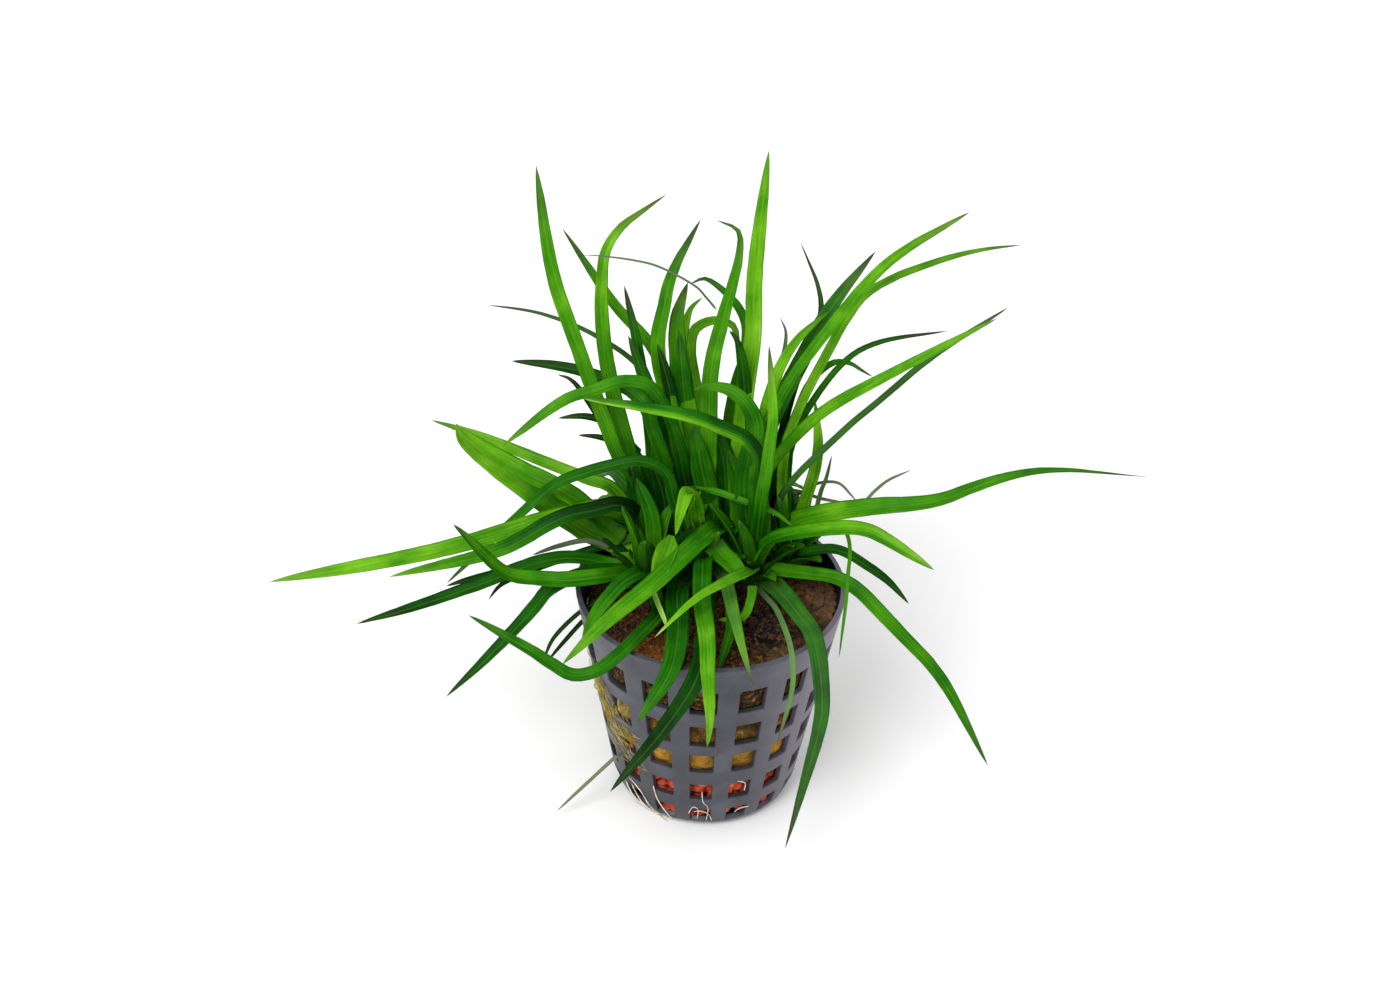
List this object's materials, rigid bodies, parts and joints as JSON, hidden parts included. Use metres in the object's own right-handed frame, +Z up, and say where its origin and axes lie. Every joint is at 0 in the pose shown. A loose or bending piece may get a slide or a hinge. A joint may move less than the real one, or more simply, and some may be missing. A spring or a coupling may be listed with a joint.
{
  "type": "potted pipewort",
  "caption": "Aquarium plant of several rosettes with long strap leaves, rooted in a mineral wool plug over clay gravel in a slotted net pot.",
  "frame": {"origin": "middle of the pot's flat underside, where it stands", "axes": "+Z up along the pot's axis, -Y towards the viewer of the picture, +X to the viewer's right"},
  "size_m": [0.1785, 0.0887, 0.1299],
  "materials": {
    "black_polypropylene": "moulded black polypropylene with a satin surface",
    "mineral_wool": "matted mineral wool stained brown by roots and algae",
    "fired_clay": "rough unglazed red clay grains",
    "leaf_bases": "pale green sheathing leaf bases",
    "leaf_blades": "smooth waxy green leaf, a little glossy"
  },
  "bodies": {
    "root": {"clay_gravel": "fired_clay", "crown_back": "leaf_bases", "crown_far_right": "leaf_bases", "crown_left": "leaf_bases", "crown_left_back": "leaf_bases", "crown_middle": "leaf_bases", "crown_right": "leaf_bases", "crown_right_back": "leaf_bases", "leaf_back_arched_dark": "leaf_blades", "leaf_back_crossed": "leaf_blades", "leaf_back_left_arched": "leaf_blades", "leaf_back_left_dark": "leaf_blades", "leaf_back_left_thin": "leaf_blades", "leaf_back_looped": "leaf_blades", "leaf_back_short": "leaf_blades", "leaf_centre_bent": "leaf_blades", "leaf_centre_hooked": "leaf_blades", "leaf_centre_spear": "leaf_blades", "leaf_centre_tall": "leaf_blades", "leaf_crossing": "leaf_blades", "leaf_far_right_arched": "leaf_blades", "leaf_far_right_dark": "leaf_blades", "leaf_far_right_long": "leaf_blades", "leaf_far_right_rising": "leaf_blades", "leaf_far_right_under": "leaf_blades", "leaf_far_right_upright": "leaf_blades", "leaf_front_hanging": "leaf_blades", "leaf_front_left_broad": "leaf_blades", "leaf_front_low_bright": "leaf_blades", "leaf_front_low_dark": "leaf_blades", "leaf_front_pale": "leaf_blades", "leaf_front_right_hanging": "leaf_blades", "leaf_front_right_thin": "leaf_blades", "leaf_front_torn": "leaf_blades", "leaf_left_bowed": "leaf_blades", "leaf_left_broad": "leaf_blades", "leaf_left_drooping": "leaf_blades", "leaf_left_hook": "leaf_blades", "leaf_left_low_dark": "leaf_blades", "leaf_left_over_rim": "leaf_blades", "leaf_left_rising": "leaf_blades", "leaf_left_short_spear": "leaf_blades", "leaf_left_upturned": "leaf_blades", "leaf_long_left": "leaf_blades", "leaf_long_left_upper": "leaf_blades", "leaf_middle_arched_band": "leaf_blades", "leaf_middle_arched_left": "leaf_blades", "leaf_middle_young": "leaf_blades", "leaf_right_curved_thin": "leaf_blades", "leaf_right_front_spear": "leaf_blades", "leaf_right_grey_bent": "leaf_blades", "leaf_right_hanging": "leaf_blades", "leaf_right_inner": "leaf_blades", "leaf_right_long_bright": "leaf_blades", "leaf_right_short": "leaf_blades", "leaf_right_tall_bright": "leaf_blades", "leaf_right_tall_grey": "leaf_blades", "leaf_tall_left": "leaf_blades", "net_pot": "black_polypropylene", "wool_plug": "mineral_wool"}
  },
  "joints": []
}
